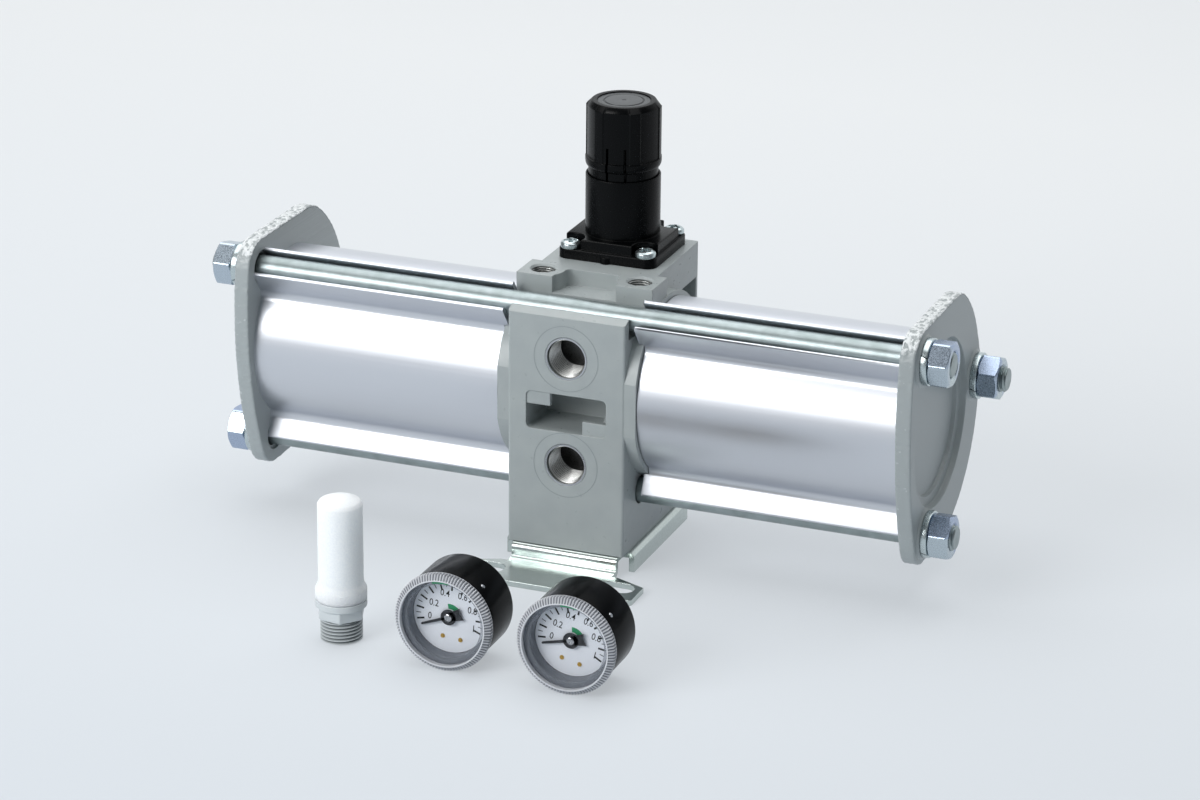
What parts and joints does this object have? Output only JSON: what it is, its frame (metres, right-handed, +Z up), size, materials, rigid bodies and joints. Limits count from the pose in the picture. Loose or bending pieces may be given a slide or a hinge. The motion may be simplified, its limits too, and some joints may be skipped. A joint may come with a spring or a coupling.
{
  "type": "air pressure booster",
  "caption": "Twin cylinder air pressure booster with tie rods, cast valve body, adjusting knob, foot bracket, and its loose silencer and dial gauges in front.",
  "frame": {"origin": "centre of the bracket's slot pattern on the floor, under the cylinder axis", "axes": "+X along the cylinders to the right, +Y to the back, +Z up through the slots"},
  "size_m": [0.3036, 0.2035, 0.1715],
  "materials": {
    "casting_paint": "satin grey paint on die cast aluminium",
    "tube_aluminium": "satin clear anodised extrusion",
    "zinc_steel": "bright zinc plated steel",
    "bracket_zinc": "zinc plated sheet",
    "machined_aluminium": "turned",
    "bright_steel": "ground steel",
    "spring_steel": "oiled spring wire",
    "brass": "turned brass",
    "bronze": "sintered bronze",
    "black_rubber": "moulded nitrile rubber",
    "white_ptfe": "smooth PTFE",
    "black_plastic": "satin moulded",
    "black_gloss": "gloss enamel",
    "cap_grey": "satin insert",
    "porous_white": "sintered porous resin",
    "silencer_grey": "satin moulded",
    "clear_plastic": "clear moulded",
    "dial_white": "printed dial plate",
    "pointer_grey": "satin enamel"
  },
  "bodies": {
    "housing": {"body_casting": "casting_paint", "tube_left": "tube_aluminium", "tube_right": "tube_aluminium", "end_plate_left": "casting_paint", "end_plate_right": "casting_paint", "tie_rod_rear": "zinc_steel", "tie_rod_upper": "zinc_steel", "tie_rod_lower": "zinc_steel", "tie_rod_nuts": "zinc_steel", "spring_washers": "zinc_steel", "tube_gaskets": "black_rubber", "rod_bush": "bronze", "rod_seals": "black_rubber", "inlet_check_discs": "black_rubber", "outlet_check_discs": "black_rubber", "check_retainers": "bright_steel", "valve_sleeve": "machined_aluminium", "sleeve_o_rings": "black_rubber", "sleeve_end_bushes": "brass", "diaphragm": "black_rubber", "diaphragm_plate": "zinc_steel", "governor_seat": "brass", "governor_spring": "spring_steel", "bonnet": "black_plastic", "bonnet_screws": "zinc_steel", "regulator_spring": "spring_steel", "bracket": "bracket_zinc", "bracket_screws": "zinc_steel", "silencer_base": "silencer_grey", "silencer_element": "porous_white", "gauge_left_case": "black_gloss", "gauge_left_rim": "clear_plastic", "gauge_left_dial": "dial_white", "gauge_left_stem": "brass", "gauge_left_bourdon_tube": "brass", "gauge_left_dial_screws": "brass", "gauge_right_case": "black_gloss", "gauge_right_rim": "clear_plastic", "gauge_right_dial": "dial_white", "gauge_right_stem": "brass", "gauge_right_bourdon_tube": "brass", "gauge_right_dial_screws": "brass"},
    "piston_set": {"piston_rod": "bright_steel", "piston_left": "machined_aluminium", "piston_right": "machined_aluminium", "piston_seals": "black_rubber", "wear_rings": "white_ptfe", "piston_nuts": "zinc_steel"},
    "spool": {"switch_spool": "bright_steel"},
    "poppet": {"governor_valve": "brass"},
    "seat_nut": {"spring_seat": "brass"},
    "screw": {"adjusting_screw": "zinc_steel"},
    "knob_body": {"knob": "black_plastic", "knob_cap": "cap_grey"},
    "pointer_left": {"gauge_left_pointer": "pointer_grey"},
    "pointer_right": {"gauge_right_pointer": "pointer_grey"}
  },
  "joints": [
    {"name": "piston_stroke", "type": "slide", "parent": "housing", "child": "piston_set", "axis": [1, 0, 0], "range_m": [-0.03907, 0.03907]},
    {"name": "spool_shift", "type": "slide", "parent": "housing", "child": "spool", "axis": [1, 0, 0], "range_m": [-0.0025, 0.0025]},
    {"name": "poppet_lift", "type": "slide", "parent": "housing", "child": "poppet", "axis": [0, 0, -1], "range_m": [0, 0.0015], "stiffness_N_per_m": 800, "springref_m": -0.002, "deforming": ["governor_spring"]},
    {"name": "knob_turn", "type": "hinge", "parent": "housing", "child": "screw", "pos_m": [0, 0.023, 0.15], "axis": [0, 0, 1], "range_deg": [0, 1440]},
    {"name": "seat_nut_travel", "type": "slide", "parent": "housing", "child": "seat_nut", "axis": [0, 0, -1], "range_m": [0, 0.005], "deforming": ["regulator_spring"]},
    {"name": "knob_lift", "type": "slide", "parent": "screw", "child": "knob_body", "axis": [0, 0, 1], "range_m": [0, 0.0035]},
    {"name": "left_pointer_turn", "type": "hinge", "parent": "housing", "child": "pointer_left", "pos_m": [-0.0054, -0.1426, 0.019], "axis": [0, 1, 0], "range_deg": [0, 224.4], "stiffness_Nm_per_rad": 0.0003, "springref_deg": -5.73},
    {"name": "right_pointer_turn", "type": "hinge", "parent": "housing", "child": "pointer_right", "pos_m": [0.0431, -0.1445, 0.019], "axis": [0, 1, 0], "range_deg": [0, 224.4], "stiffness_Nm_per_rad": 0.0003, "springref_deg": -5.73}
  ],
  "couplings": [
    {"joint": "knob_turn", "follows": "seat_nut_travel", "rad_per_m": 5026.5}
  ]
}
